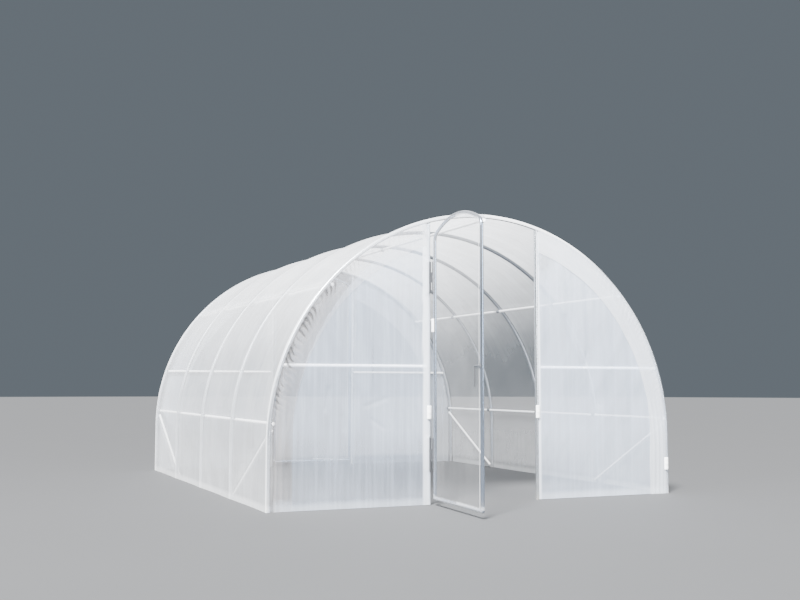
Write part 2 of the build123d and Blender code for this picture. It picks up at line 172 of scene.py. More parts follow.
class TunnelColours(bpy.types.PropertyGroup):
    """Colours of the films, tubes and fastenings."""

    cover_film: colour("Cover film", (0.84, 0.86, 0.885), "Colour of the roof and side film")
    # The end walls' film is pale with a blue tint that is a painted sky reflection
    wall_film: colour("End wall film", (0.68, 0.785, 0.96), "Colour of the end walls' film")
    band_film: colour("Turned-over film", (0.74, 0.71, 0.71), "Colour of the gathered band")
    door_film: colour("Door film", (0.86, 0.87, 0.885), "Colour of the doors' film")
    tube: colour("Tube", (0.90, 0.905, 0.91), "Colour of the white purlins, bars and braces")
    hoop: colour("Hoop tube", (0.44, 0.47, 0.51), "Colour of the galvanised hoops")
    plate: colour(
        "Zinc plate", (0.13, 0.135, 0.145), "Colour of the hinges, latches, bolts and screws"
    )
    zinc: colour("Zinc", (0.43, 0.46, 0.49), "Colour of the galvanised posts and clamps")
    # The door tubes' dark blue-grey is zinc with a painted sky reflection in its colour
    door_tube: colour(
        "Door tube", (0.16, 0.21, 0.285), "Colour of the bright zinc of the door frames"
    )
    plastic: colour("Clip plastic", (0.87, 0.88, 0.89), "Colour of the snap-on clips")
    floor: colour("Floor", (0.044, 0.045, 0.047), "Colour of the floor")


def sizes():
    """The sizes as they are set."""
    return bpy.context.scene.tunnel_sizes


def colours():
    """The colours as they are set."""
    return bpy.context.scene.tunnel_colours


def band_width(end):
    """How far the cover is turned over at an end."""
    return sizes().front_band if end == FRONT else sizes().rear_band


# Materials


class Value:
    """A value in a material's nodes, so that sums with it are written as sums."""

    def __init__(self, recipe, socket):
        self.recipe = recipe
        self.socket = socket

    def sum(self, operation, *values):
        return self.recipe.node("ShaderNodeMath", {"operation": operation}, dict(enumerate(values)))

    def __add__(self, other):
        return self.sum("ADD", self, other)

    def __radd__(self, other):
        return self.sum("ADD", other, self)

    def __sub__(self, other):
        return self.sum("SUBTRACT", self, other)

    def __rsub__(self, other):
        return self.sum("SUBTRACT", other, self)

    def __mul__(self, other):
        return self.sum("MULTIPLY", self, other)

    def __rmul__(self, other):
        return self.sum("MULTIPLY", other, self)

    def __pow__(self, other):
        return self.sum("POWER", self, other)

    def __abs__(self):
        return self.sum("ABSOLUTE", self)

    def limited(self, low=0.0, high=1.0):
        return self.sum("MINIMUM", self.sum("MAXIMUM", self, low), high)

    def rising(self, low, high):
        """0 below low, 1 above high and a straight rise between."""
        return ((self - low) * (1 / (high - low))).limited()


class Recipe:
    """The nodes of one material."""

    def __init__(self, name):
        self.material = bpy.data.materials.new(name)
        self.material.use_nodes = True
        self.tree = self.material.node_tree
        self.tree.nodes.clear()

    def node(self, kind, settings, values, output=0):
        """Add a node, set it up, give its sockets their values or links, and return an output."""
        node = self.tree.nodes.new(kind)
        for key, value in settings.items():
            setattr(node, key, value)
        for key, value in values.items():
            if isinstance(value, Value):
                self.tree.links.new(value.socket, node.inputs[key])
            else:
                node.inputs[key].default_value = value
        return Value(self, node.outputs[output])

    def place(self):
        """The object's own coordinates."""
        return self.node("ShaderNodeTexCoord", {}, {}, "Object")

    def along(self, axis):
        """The object's own coordinate along X, Y or Z."""
        return self.node("ShaderNodeSeparateXYZ", {}, {0: self.place()}, axis)

    def flat(self, stretch=(1, 1, 1), turn=0.0):
        """The place on the flat sheet in metres, turned and then stretched."""
        place = self.node("ShaderNodeUVMap", {"uv_map": "flat"}, {})
        if turn:
            place = self.node("ShaderNodeMapping", {}, {"Vector": place, "Rotation": (0, 0, turn)})
        return self.node("ShaderNodeMapping", {}, {"Vector": place, "Scale": stretch})

    def patches(self, place, scale, detail=3.0, roughness=0.55):
        """Soft random patches from 0 to 1, so many to the metre."""
        values = {"Vector": place, "Scale": scale, "Detail": detail, "Roughness": roughness}
        return self.node("ShaderNodeTexNoise", {}, values)

    def mark(self, name):
        """What the mesh says at each point under that name."""
        return self.node("ShaderNodeAttribute", {"attribute_name": name}, {}, "Fac")

    def blended(self, share, first, second):
        """A colour between two."""
        values = {0: share, 6: first, 7: second}
        return self.node("ShaderNodeMix", {"data_type": "RGBA"}, values, 2)

    def mixed(self, share, first, second):
        """A shader between two."""
        return self.node("ShaderNodeMixShader", {}, {0: share, 1: first, 2: second})

    def bump(self, height, strength, distance):
        """The normal over a rough surface."""
        values = {"Height": height, "Strength": strength, "Distance": distance}
        return self.node("ShaderNodeBump", {}, values)

    def surface(self, **values):
        """A surface with the named sockets set, an underscore for each space in their names."""
        named = {key.replace("_", " "): value for key, value in values.items()}
        return self.node("ShaderNodeBsdfPrincipled", {}, named)

    def let_through(self, colour, creased):
        """Light that comes through film of one colour."""
        values = {"Color": colour, "Normal": creased}
        return self.node("ShaderNodeBsdfTranslucent", {}, values)

    def shaded(self, shader):
        """Finish the material with a shader."""
        output = self.tree.nodes.new("ShaderNodeOutputMaterial")
        self.tree.links.new(shader.socket, output.inputs["Surface"])
        return self.material


def paint(rgb, factor=1.0):
    """A colour with its alpha, made darker or lighter."""
    return tuple(min(1.0, channel * factor) for channel in rgb) + (1.0,)


def film_finish(
    name, rgb, haze, streaks, milk, flow, skyward, low=0.0, hemmed=0.30, turning=0.42,
    dark=0.62, folded=0.22, rightward=0.0, shading=0.55, wrinkled=0.12, sweep=0.0,
):
    """Clear film: hazy, brighter where it turns away, whiter in its hems and along its folds.

    haze is how much of the film shows, milk how much of that lets light through, and flow how
    the streaks are stretched over the flat sheet. dark is the colour factor of the painted shade
    in the folds and wrinkles, and shading and wrinkled say how much of it they get. skyward adds
    film towards the roof as painted light, and rightward takes film away on the right side as
    painted shade. The others say how much more of the film shows, or less, for what they name.
    """
    film = Recipe(name)
    clouds = film.patches(film.flat(), 1.6, 2.0)
    lines = film.patches(film.flat(flow), 1.0, 4.0, 0.6)
    crinkle = film.patches(film.flat(), 46.0, 3.0)
    sweeps = film.patches(film.flat((7, 1.2, 1), 0.55), 1.0, 2.0)
    wrinkle = (1 - 20 * abs(lines - 0.5)).limited()
    hem, fold = film.mark("hem"), film.mark("fold")
    turned = film.node("ShaderNodeLayerWeight", {}, {"Blend": 0.5}, "Facing")
    height = film.along("Z")
    # skyward is painted light, more white film towards the roof; rightward is painted shade, less
    # film on the right side
    shown = (
        haze
        - rightward * film.along("X").limited()
        + skyward * height.rising(0.92, 1.72)
        - low * (1 - height.rising(0.225, 0.475))
        + 0.16 * (clouds - 0.5)
        + 2 * sweep * (sweeps - 0.5)
        + 2 * streaks * (lines - 0.5)
        + hemmed * hem
        + folded * fold
        + turning * turned**3
    ).limited(0.04, 0.97)
    # Painted shade: folds and wrinkles darken the colour towards dark, and the streaks vary its
    # tone at random
    plain, darkened, white = paint(rgb), paint(rgb, dark), paint((0.93, 0.94, 0.95))
    shade = (shading * fold + wrinkled * wrinkle + 0.25 * (0.5 - lines)).limited()
    # The hem whitens the film: doubled film, and the painted highlight on the left end hoops
    doubled = (0.8 * hem).limited()
    creased = film.bump(crinkle + 0.6 * lines + wrinkled * wrinkle, 0.22, 0.0015)
    gloss = film.surface(
        Base_Color=film.blended(doubled, film.blended(shade, plain, darkened), white),
        Roughness=(0.16 + 0.22 * clouds).limited(),
        Normal=creased,
        IOR=1.5,
        Specular_IOR_Level=0.8,
    )
    through = [film.let_through(colour, creased) for colour in (plain, darkened, white)]
    glow = film.mixed(doubled, film.mixed(shade, through[0], through[1]), through[2])
    clear = film.node("ShaderNodeBsdfTransparent", {}, {"Color": (0.99, 0.992, 0.995, 1)})
    return film.shaded(film.mixed(shown, clear, film.mixed(milk, gloss, glow)))


def tube_finish(name, rgb, metal, spangle, gloss, painted_top_shade=0.0):
    """Galvanised or white-coated tube: zinc grain, ground splashes, painted shade high up."""
    tube = Recipe(name)
    cells = {"Vector": tube.place(), "Scale": 95.0}
    grain = tube.node("ShaderNodeTexVoronoi", {"feature": "F1"}, cells, 1)
    tone = tube.node("ShaderNodeRGBToBW", {}, {0: grain})
    weather = tube.patches(tube.place(), 7.0, 5.0)
    fine = tube.patches(tube.place(), 320.0, 2.0)
    spots = (tube.patches(tube.place(), 30.0) - 0.32).limited()
    height = tube.along("Z")
    splash = (5.5 * (0.16 - height)).limited() * spots
    # Painted shade: the colour darkens and the roughness rises higher up the tube
    high = painted_top_shade * (1.5 * height - 1.4).limited()
    shade = (spangle * tone + 0.55 * (weather - 0.35)).limited()
    colour = tube.blended(shade, paint(rgb, 1.06), paint(rgb, 0.80))
    colour = tube.blended(high, colour, paint(rgb, 0.42))
    colour = tube.blended((2.2 * splash).limited(0, 0.5), colour, paint((0.42, 0.37, 0.31)))
    rough = gloss + 0.20 * (weather - 0.5) + 0.12 * spangle * tone + 0.25 * high
    return tube.shaded(tube.surface(
        Base_Color=colour,
        Metallic=(metal - 0.9 * splash).limited(),
        Roughness=rough.limited(),
        Normal=tube.bump(0.4 * tone * spangle + fine, 0.04, 0.0006),
    ))


def plastic_finish(name, rgb):
    """Moulded white plastic with a fine satin grain and a little dust."""
    plastic = Recipe(name)
    dust = plastic.patches(plastic.place(), 60.0, 4.0)
    grain = plastic.patches(plastic.place(), 900.0, 1.0)
    return plastic.shaded(plastic.surface(
        Base_Color=plastic.blended((0.9 * (dust - 0.3)).limited(), paint(rgb), paint(rgb, 0.86)),
        Roughness=0.36 + 0.16 * dust,
        Normal=plastic.bump(grain, 0.10, 0.0004),
        Subsurface_Weight=0.12,
        Subsurface_Radius=(0.004, 0.004, 0.004),
    ))


def floor_finish(name, rgb):
    """A plain floor, a little uneven in tone."""
    floor = Recipe(name)
    uneven = floor.patches(floor.place(), 0.8, 4.0)
    colour = floor.blended(uneven, paint(rgb, 1.03), paint(rgb, 0.96))
    return floor.shaded(floor.surface(Base_Color=colour, Roughness=0.8))


# Meshes


def new_piece(name, mesh_maker, finish, body, smooth=True):
    """Make an object of a bmesh, at the origin, riding on a body."""
    mesh = bpy.data.meshes.new(name)
    mesh_maker.to_mesh(mesh)
    mesh_maker.free()
    for face in mesh.polygons:
        face.use_smooth = smooth
    mesh.materials.append(finish)
    piece = bpy.data.objects.new(name, mesh)
    bpy.context.scene.collection.objects.link(piece)
    if body is not None:
        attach(piece, body)
    return piece


def dress(finish, *nodes):
    """Give CAD nodes a material."""
    for node in nodes:
        for material_slot in frame["nodes"][node].material_slots:
            material_slot.material = finish


def facing_out(bm):
    """Turn a bmesh's faces outwards."""
    bmesh.ops.recalc_face_normals(bm, faces=bm.faces[:])
    return bm


def everything(bm):
    """All of a bmesh, for a cut."""
    return bm.verts[:] + bm.edges[:] + bm.faces[:]


def moved_in(bm, part, matrix):
    """Add a finished part to a bmesh at a place."""
    mesh = bpy.data.meshes.new("part")
    part.to_mesh(mesh)
    mesh.transform(matrix)
    bm.from_mesh(mesh)
    bpy.data.meshes.remove(mesh)


def swung_open(bm, end):
    """Swing a closed front door piece outwards about its hinges, as the frame has it."""
    if end == FRONT:
        turn = Matrix.Rotation(-DOOR_OPEN_ANGLE, 3, "Z")
        bmesh.ops.rotate(bm, cent=PIVOTS["front_door"], matrix=turn, verts=bm.verts)
    return bm


def smooth_step(low, high, value):
    """0 below low, 1 above high and a soft rise between."""
    share = min(1.0, max(0.0, (value - low) / (high - low)))
    return share * share * (3 - 2 * share)


def bell(value, middle, width):
    """1 at the middle, falling softly to nothing on both sides."""
    return exp(-(((value - middle) / width) ** 2))


def waver(x, y, seed):
    """Soft random waves between -1 and 1."""
    return noise.noise(Vector((x, y, seed)))


def sheet(columns, rows, laid):
    """A film sheet: a grid whose vertices are put where laid says.

    laid takes two shares from 0 to 1 and gives the place, the place on the flat film, and how
    much of a hem and of a fold there is; the fold also darkens the film's colour as painted shade.
    """
    bm = bmesh.new()
    bmesh.ops.create_grid(bm, x_segments=columns, y_segments=rows, size=0.5)
    flat = bm.loops.layers.uv.new("flat")
    hem = bm.verts.layers.float.new("hem")
    fold = bm.verts.layers.float.new("fold")
    marks = {}
    for vert in bm.verts:
        place, on_flat, vert[hem], vert[fold] = laid(vert.co.x + 0.5, vert.co.y + 0.5)
        vert.co = place
        marks[vert] = on_flat
    for face in bm.faces:
        for loop in face.loops:
            loop[flat].uv = marks[loop.vert]
    return bm


def steps(*runs):
    """Numbers through runs of equal steps, each run with its start, its end and its count."""
    found = [runs[0][0]]
    for start, end, count in runs:
        found += [start + (end - start) * (i + 1) / count for i in range(count)]
    return found


def at_share(numbers, share):
    """The number at a share of a list's length."""
    return numbers[min(len(numbers) - 1, round(share * (len(numbers) - 1)))]


def arch_place(distance, inset, y):
    """A place on the tunnel's section at a distance from its left foot, set in by inset."""
    arc = pi * COVER_RADIUS
    radius = COVER_RADIUS - inset
    if distance <= LEG_HEIGHT:
        return Vector((-radius, y, distance))
    if distance >= LEG_HEIGHT + arc:
        return Vector((radius, y, 2 * LEG_HEIGHT + arc - distance))
    angle = pi - (distance - LEG_HEIGHT) / COVER_RADIUS
    return Vector((radius * cos(angle), y, LEG_HEIGHT + radius * sin(angle)))


def arch_x(z, inset):
    """How far from the middle the section is at a height, set in by inset."""
    radius = COVER_RADIUS - inset
    if z <= LEG_HEIGHT:
        return radius
    return sqrt(max(0.0, radius**2 - (z - LEG_HEIGHT) ** 2))


def length_to(x, inset=0.0):
    """How long the section is from its foot to where it is x from the middle."""
    return LEG_HEIGHT + COVER_RADIUS * (pi / 2 - asin(x / (COVER_RADIUS - inset)))


# The cover. A pair of lengths is a stretch over which something comes or goes. The first six
# are measured along the section from the nearer foot, the others along the tunnel from a hoop.

FOOT_DOUBLED = (0.03, 0.05)
SAG_COMES = (0.15, 0.9)
PULLS_COME = (0.7, 2.0)
HOOPS_SHOW_CLEAR = (0.9, 1.5)
LEFT_EDGE_CLEARS = (1.35, 1.65)
RIGHT_EDGE_WHITENS = (1.55, 2.05)
HOOP_PRESSES = (0.011, 0.017)
END_HOOPS_SPARED = (0.1, 0.2)
LEFT_WHITE_BEGINS = (-0.020, -0.016)
RIGHT_CHANGE_BEGINS = (-0.022, -0.012)
BESIDE_HOOPS = (-0.018, -0.011, 0.011, 0.018)
COVER_TAIL = 0.009
PULL_DEPTH = 0.0035


def between_hoops(distance, along, from_foot, share):
    """How far the cover is set in at a share of its bay, and how creased it is there."""
    slack, ripple_height, ripple_reach = 0.0034, 0.0016, 0.13
    dip = 4 * share * (1 - share)
    near = exp(-min(share, 1 - share) * BAY / ripple_reach)
    ripple = waver(distance * 11, along * 1.6, 8.1) + 0.5 * waver(distance * 23, along * 3, 1.3)
    inset = sizes().cover_sag * (0.35 + 0.65 * smooth_step(*SAG_COMES, from_foot)) * dip
    inset += slack * dip * (1 + waver(distance * 2.3, along * 2.1, 3.7))
    inset += ripple_height * (0.35 + near) * (1 - exp(-dip * 9)) * (1 + ripple)
    return inset, max(0.0, ripple) * 0.35 * (0.3 + near)


def pull(distance, along, from_foot):
    """How strongly the film is pulled in over the roof, in lines along the section."""
    drawn = waver(along * 13, distance * 0.9, 6.6) + 0.6 * waver(along * 29, distance * 1.7, 2.2)
    return max(0.0, drawn - 0.25) ** 1.5 * smooth_step(*PULLS_COME, from_foot)


def end_edge(distance, from_foot, past):
    """How much whiter or clearer the cover is next to an end hoop, on each of its sides."""
    if distance > SECTION / 2:
        crowned = smooth_step(*RIGHT_EDGE_WHITENS, from_foot)
        return (3.6 * crowned - 2.6) * smooth_step(*RIGHT_CHANGE_BEGINS, past)
    doubled = 1 - smooth_step(*LEFT_EDGE_CLEARS, from_foot)
    edge = 0.010 * doubled - 0.014 * (1 - doubled)
    beyond = smooth_step(edge - 0.002, edge, past)
    # The white strip low on the left is wrapped, doubled film with a painted highlight on it
    white = 1.2 * doubled * smooth_step(*LEFT_WHITE_BEGINS, past)
    return white * (1 - beyond) - 0.8 * beyond


def cover_laid(rows_y):
    """How the cover lies on the hoops: dipping between them and turned round the end hoops."""
    wrap = TUBE_RADIUS + sizes().film_thickness

    def laid(u, v):
        distance, along = u * SECTION, at_share(rows_y, v)
        past = abs(along) - END_Y
        from_foot = min(distance, SECTION - distance)
        hem = 0.8 * (1 - smooth_step(*FOOT_DOUBLED, from_foot))
        if past <= 0:
            share = ((along + END_Y) / BAY) % 1.0
            y = along
            inset, crease = between_hoops(distance, along, from_foot, share)
            pressed = 1 - smooth_step(*HOOP_PRESSES, min(share, 1 - share) * BAY)
            pressed *= smooth_step(*END_HOOPS_SPARED, -past)
            hem += pressed * (0.35 - 1.35 * smooth_step(*HOOPS_SHOW_CLEAR, from_foot))
        else:
            angle = min(past / wrap, pi / 2)
            y = (END_Y + wrap * sin(angle)) * (1 if along > 0 else -1)
            inset = wrap * (1 - cos(angle)) + max(0.0, past - wrap * pi / 2)
            crease = 0.1
        pulled = pull(distance, along, from_foot)
        inset += PULL_DEPTH * pulled
        # Ripples and pulls carry painted shade: the crease darkens the film's colour along them
        crease = min(1.0, crease + 1.1 * pulled)
        hem += end_edge(distance, from_foot, past)
        return arch_place(distance, inset, y), (distance, along), hem, crease

    return laid


# The turned-over bands. The first four stretches are measured along the section from the foot,
# the next four inward from the band's start at the hoop, and the last from its loose edge.

BAND_START = 0.012
BAND_SINK = 0.0002
ARCH_COMES = (0.45, 0.80)
GATHERS_COME = (0.42, 0.70)
GATHERS_GO = (1.45, 1.85)
LEG_CLEARS = (0.9, 1.3)
BAND_RISES = (0.0, 0.012)
TUBE_SHOWS = (0.012, 0.016)
LEG_TUBE_SHOWS = (0.010, 0.030)
LEG_TUBE_DARKENS = (0.004, 0.036)
BAND_SETTLES = (0.0, 0.03)

# The painted shade on a band: how far in its middle lies and how wide it is. The hem's lines
# are painted shade too, measured from the loose edge, and how dark each is comes first.

STROKES = (0.045, 0.038)
HOOP_SHADOW = (0.020, 0.018)
LEG_SHADOW = (0.0, 0.055)
HEM_LINES = ((0.8, 0.004, 0.003), (0.5, 0.020, 0.004))


def band_reach(distance, end, side):
    """How far the turned-over band runs in from the hoop."""
    seed = 5.0 + 3 * end + side
    wide, narrow = waver(distance * 1.7, 0.3, seed), waver(distance * 9, 0.7, seed)
    return band_width(end) + 0.010 * wide + 0.003 * narrow


def gather(distance, inward, seed):
    """The height of the gathers' waves from 0 to 1, and how strong they are at a place."""
    turn = distance / sizes().gather_spacing + 1.5 * waver(distance * 4.3, 0.1, seed)
    turn += inward * 15 + 0.9 * waver(distance * 3, inward * 14, seed + 2)
    ridge = 1 - (0.5 - 0.5 * sin(2 * pi * turn)) ** 2.2
    reached = max(0.02, 0.080 + 0.055 * waver(distance * 11, 0.4, seed + 6))
    strength = exp(-((inward / reached) ** 3)) * (0.8 + 0.6 * waver(distance * 6, 0.9, seed + 1))
    return ridge, strength


def band_laid(end, side, gathered):
    """How a turned-over band lies on the end wall, gathered next to the hoop."""
    seed = 11.0 + 2 * end + side
    post_side = POST_X + TUBE_RADIUS

    def laid(u, v):
        reach = band_reach(u * length_to(post_side, BAND_START), end, side)
        inset = BAND_START + (reach - BAND_START) * v
        distance = u * length_to(post_side, inset)
        inward, from_edge = inset - BAND_START, reach - inset
        on_arch = smooth_step(*ARCH_COMES, distance)
        on_leg = 1 - on_arch
        drawn = smooth_step(*GATHERS_COME, distance)
        drawn *= 1 - 0.70 * smooth_step(*GATHERS_GO, distance)

        # How the gathers, the leg's upright waves and the soft waves lift it
        ridge, strength = gather(distance, inward, seed)
        strength *= gathered * (0.3 + 0.7 * drawn)
        turn = inward / 0.036 + 0.6 * waver(distance * 2.2, 0.2, seed)
        upright = (0.5 + 0.5 * sin(2 * pi * turn)) ** 2
        soft = 0.5 + 0.5 * waver(distance * 6, inward * 16, seed + 4)
        lift = on_arch * ridge * strength + on_leg * 0.55 * upright + 0.25 * soft
        rise = smooth_step(*BAND_RISES, inward) * smooth_step(*BAND_SETTLES, from_edge)
        off = sizes().gather_depth * rise * lift

        # The painted shade between the gathers, and by the leg
        patchy = smooth_step(-0.30, 0.25, waver(distance * 9, inward * 22, seed + 8))
        stroke = bell(inward, *STROKES) * (1 - ridge) * (0.45 + 0.75 * patchy)
        broken = smooth_step(-0.4, 0.5, waver(distance * 8, 0.6, seed + 3))
        shadow = bell(inward, *HOOP_SHADOW) * broken
        crease = gathered * on_arch * drawn * (1.1 * stroke + 0.8 * shadow + 0.25 * strength)
        crease += on_leg * gathered * bell(inward, *LEG_SHADOW) * (1.1 - 0.9 * upright)
        crease *= smooth_step(0.0, 0.01, inward)
        hem = (0.04 if gathered == 1 else 0.20) - 0.6 * (1 - smooth_step(*TUBE_SHOWS, inward))
        if gathered < 1:
            by_leg = 1 - smooth_step(*LEG_CLEARS, distance)
            hem -= 1.8 * by_leg * (1 - smooth_step(*LEG_TUBE_SHOWS, inward))
            # Painted shade on the film beside the leg's tube and along the hem's lines
            crease += by_leg * (1 - smooth_step(*LEG_TUBE_DARKENS, inward))
            crease += sum(dark * bell(from_edge, in_by, wide) for dark, in_by, wide in HEM_LINES)
        place = arch_place(distance, inset, end * (BAND_Y - BAND_SINK + off))
        place.x *= -side
        return place, (distance, inset), hem, crease

    return laid


# The end walls. A crease runs from one place to another, across and up in metres, and has a
# depth and a width. The crushed corner has its middle and its width across, and then up.

CREASES = {
    "front_left_film": (
        ((-1.098, 0.747), (-1.121, 0.617), 0.004, 0.012),
        ((-0.853, 0.634), (-0.706, 0.686), 0.004, 0.010),
        ((-0.812, 0.553), (-0.722, 0.492), 0.003, 0.010),
        ((-1.011, 0.570), (-0.994, 0.491), 0.003, 0.010),
    ),
    "front_right_film": (
        ((0.809, 0.999), (0.800, 0.915), 0.003, 0.012),
        ((0.640, 1.230), (0.900, 0.640), 0.003, 0.030),
    ),
}
DOOR_CREASES = (
    ((-0.36, 1.62), (0.05, 1.30), 0.004, 0.045),
    ((0.34, 0.25), (-0.05, 0.75), 0.003, 0.05),
)
CRUSHED_CORNER = ((0.47, 0.07), (1.62, 0.09))
CRUMPLED_ABOVE = (1.25, 1.5)
WALL_TOP = 1.826
WALL_EDGE_INSET = 0.016
WALL_TURN = radians(150)
UNWRAPPED_START = 0.006
UNWRAPPED_HEM = 0.012
LEAF_GAP = 0.0007
LEAF_OVERHANG = 0.0009

# What holds an end wall, and how far from it the film is free

HELD_BY_POST = (0.012, 0.12)
HELD_BY_HOOP = (0.02, 0.12)
HELD_BY_BAR = (0.0, 0.25)
HELD_BY_GROUND = (0.0, 0.12)
HELD_BY_LEAF = (0.015, 0.030)


def crease_at(x, z, creases):
    """How deep the named creases are at a place on a film."""
    depth = 0.0
    here = Vector((x, z))
    for start, end, deep, width in creases:
        start, end = Vector(start), Vector(end)
        run = end - start
        share = min(1.0, max(0.0, (here - start).dot(run) / run.length_squared))
        gap = (here - start - run * share).length
        depth += deep * bell(gap, 0.0, width)
    return depth


def over_hinge(z):
    """How much the film lies over a hinge's leaf at a height, from 0 to 1."""
    gap = min(abs(z - middle) for middle in HINGE_MIDDLES)
    return 1 - smooth_step(HINGE_LENGTH / 2 + 0.001, HINGE_LENGTH / 2 + 0.015, gap)


def wall_laid(name, end, side, across, heights):
    """How an end wall's film hangs: round the door post, over the bar and behind the band."""
    wrap = END_FILM_Y - END_Y
    seed = 21.0 + 3 * end + side
    depth = sizes().fold_depth
    wrapped_round = across[0] < 0
    start = POST_X if wrapped_round else POST_X + UNWRAPPED_START
    hemmed = sizes().post_hem if wrapped_round else UNWRAPPED_HEM
    leaf_lift = HINGE_BOX[0].y + LEAF_THICKNESS + LEAF_GAP - END_FILM_Y
    leaf_edge = -HINGE_BOX[0].x - LEAF_WIDTH + LEAF_OVERHANG

    def round_post(along, z, lifted):
        angle = -along / wrap
        place = Vector((POST_X - wrap * sin(angle), END_Y + wrap * cos(angle)))
        flat_x = leaf_edge - 0.0004 * along / across[0]
        place = place.lerp(Vector((flat_x, END_FILM_Y + leaf_lift)), lifted)
        return Vector((side * place.x, end * place.y, z)), (along, z), 0.75, 0.0

    def laid(u, v):
        along, z = at_share(across, u), at_share(heights, v)
        lifted = over_hinge(z) if side == LEFT else 0.0
        if along < 0:
            return round_post(along, z, lifted)
        edge = max(arch_x(z, WALL_EDGE_INSET), start + 0.001)
        x = start + along * (edge - start)
        x = max(x, leaf_edge + (x - start) * 0.01) if lifted > 0.5 else x
        from_post, from_edge = x - start, edge - x

        # How far it hangs in, where nothing holds it
        free = smooth_step(*HELD_BY_POST, from_post) * smooth_step(*HELD_BY_HOOP, from_edge)
        free *= 0.35 + 0.65 * smooth_step(*HELD_BY_BAR, abs(z - BAR_HEIGHT))
        free *= smooth_step(*HELD_BY_GROUND, z)
        upright = waver(x * 9, z * 0.9, seed) + 0.55 * waver(x * 21 + z, z * 1.4, seed + 5)
        drawn = waver((x + z * 0.5) * 5, (z - x) * 1.1, seed + 9)
        crumpled = waver(x * 38, z * 34, seed + 3) * smooth_step(*CRUMPLED_ABOVE, z)
        deep = crease_at(side * x, z, CREASES.get(name, ()))
        soft = depth * (0.5 + 0.5 * upright) + 0.4 * depth * drawn + 0.0016 * crumpled
        leaf = leaf_lift * lifted * (1 - smooth_step(*HELD_BY_LEAF, from_post))
        inward = max(-0.0006, free * soft + deep) - leaf

        # How white its hems are, and the painted shade in its folds
        fold = 0.45 * max(0.0, upright) ** 2 * free + 60 * deep + 0.3 * abs(crumpled)
        hem = 0.35 * (1 - smooth_step(0.02, sizes().foot_hem + 0.02, z))
        hem = max(hem, 0.75 * (1 - smooth_step(hemmed, hemmed + 0.003, from_post)))
        hem -= 0.5 * (1 - smooth_step(0.012, 0.016, from_edge))
        if (end, side) == (FRONT, RIGHT):
            corner = bell(x, *CRUSHED_CORNER[0]) * bell(z, *CRUSHED_CORNER[1])
            crushed = waver(x * 60, z * 55, 4.4)
            inward += 0.004 * corner * (1 + crushed)
            # Painted shade in the crushed corner's crumples
            fold += 0.5 * corner * max(0.0, crushed)
            hem -= 0.55 * corner
        if (end, side) == (FRONT, LEFT):
            behind = smooth_step(-0.004, 0.004, band_width(end) - WALL_EDGE_INSET - from_edge)
            hem -= 0.35 * behind * smooth_step(0.05, 0.10, z)
        return Vector((side * x, end * (END_FILM_Y - inward), z)), (x, z), hem, fold

    return laid


# The doors. The stretches are measured from the tube's centre line into the door, and the
# white corner has its middle and its width across, and then up.

DOOR_FILM_FREE = (0.012, 0.16)
SEAM_BEGINS = (0.0105, 0.0120)
SEAM_ENDS = (0.0185, 0.0200)
BOTTOM_HEM_ENDS = (0.011, 0.013)
WHITE_CORNER = ((0.36, 0.03), (1.755, 0.035))
DOOR_TURN = 172


def door_top(x):
    """The height of the door tube's centre line at a distance from the door's middle."""
    if abs(x) <= CROWN_MEET:
        return DOOR_CROWN - CROWN_RADIUS + sqrt(CROWN_RADIUS**2 - x * x)
    return DOOR_SPRING + sqrt(max(0.0, DOOR_CORNER**2 - (abs(x) - CORNER_X) ** 2))


def door_outward(x, z):
    """The direction away from the door at a place on its outline."""
    if z < DOOR_SPRING:
        beside = 1.0 if abs(x) > DOOR_HALF - 0.001 else 0.0
        below = 1.0 if z < DOOR_BOTTOM + 0.001 else 0.0
        return Vector((beside * (1 if x > 0 else -1), -below)).normalized()
    if abs(x) <= CROWN_MEET:
        return Vector((x, z - (DOOR_CROWN - CROWN_RADIUS))).normalized()
    away = Vector((abs(x) - CORNER_X, z - DOOR_SPRING))
    away.x = away.x if x > 0 else -away.x
    return away.normalized()


def door_laid(end, columns, rows):
    """How a door's film lies over the outside of its frame, its edge turned round the tube."""
    wrap = DOOR_TUBE + sizes().film_thickness
    seed = 40.0 + end
    depth = sizes().door_fold_depth

    def bottom(z):
        return 0.5 * (1 - smooth_step(DOOR_BOTTOM + 0.02, DOOR_BOTTOM + 0.03, z)) - 0.1

    def laid(u, v):
        across, past_side = at_share(columns, u)
        up, past_end = at_share(rows, v)
        x = DOOR_HALF * sin(pi / 2 * across)
        z = DOOR_BOTTOM + up * (door_top(x) - DOOR_BOTTOM)
        past = max(past_side, past_end)
        if past > 0:
            away = door_outward(x, z) * wrap * sin(past)
            y = END_Y + wrap * cos(past)
            on_flat = (x + away.x * past, z + away.y * past)
            return Vector((x + away.x, end * y, z + away.y)), on_flat, bottom(z), 0.0
        in_frame = min(DOOR_HALF - abs(x), z - DOOR_BOTTOM, door_top(x) - z)
        free = smooth_step(*DOOR_FILM_FREE, in_frame)
        upright = waver(x * 8, z * 0.8, seed) + 0.4 * waver(x * 19, z * 1.5, seed + 2)
        deep = crease_at(x, z, DOOR_CREASES) * free
        inward = free * depth * (0.6 + 0.5 * upright) + deep
        seam = smooth_step(*SEAM_BEGINS, in_frame) * (1 - smooth_step(*SEAM_ENDS, in_frame))
        hem = bottom(z) * (1 - smooth_step(*BOTTOM_HEM_ENDS, in_frame))
        hem = max(hem, seam * (0.9 if x > 0 else 0.15))
        hem = max(hem, 0.8 * bell(x, *WHITE_CORNER[0]) * bell(z, *WHITE_CORNER[1]))
        # Painted shade along the door film's creases and folds
        fold = 30 * deep + 0.3 * max(0.0, upright) ** 2 * free
        return Vector((x, end * (END_Y + wrap - inward), z)), (x, z), hem, fold

    return laid


# Clips, bolts and screws. The clips' heights are in metres.

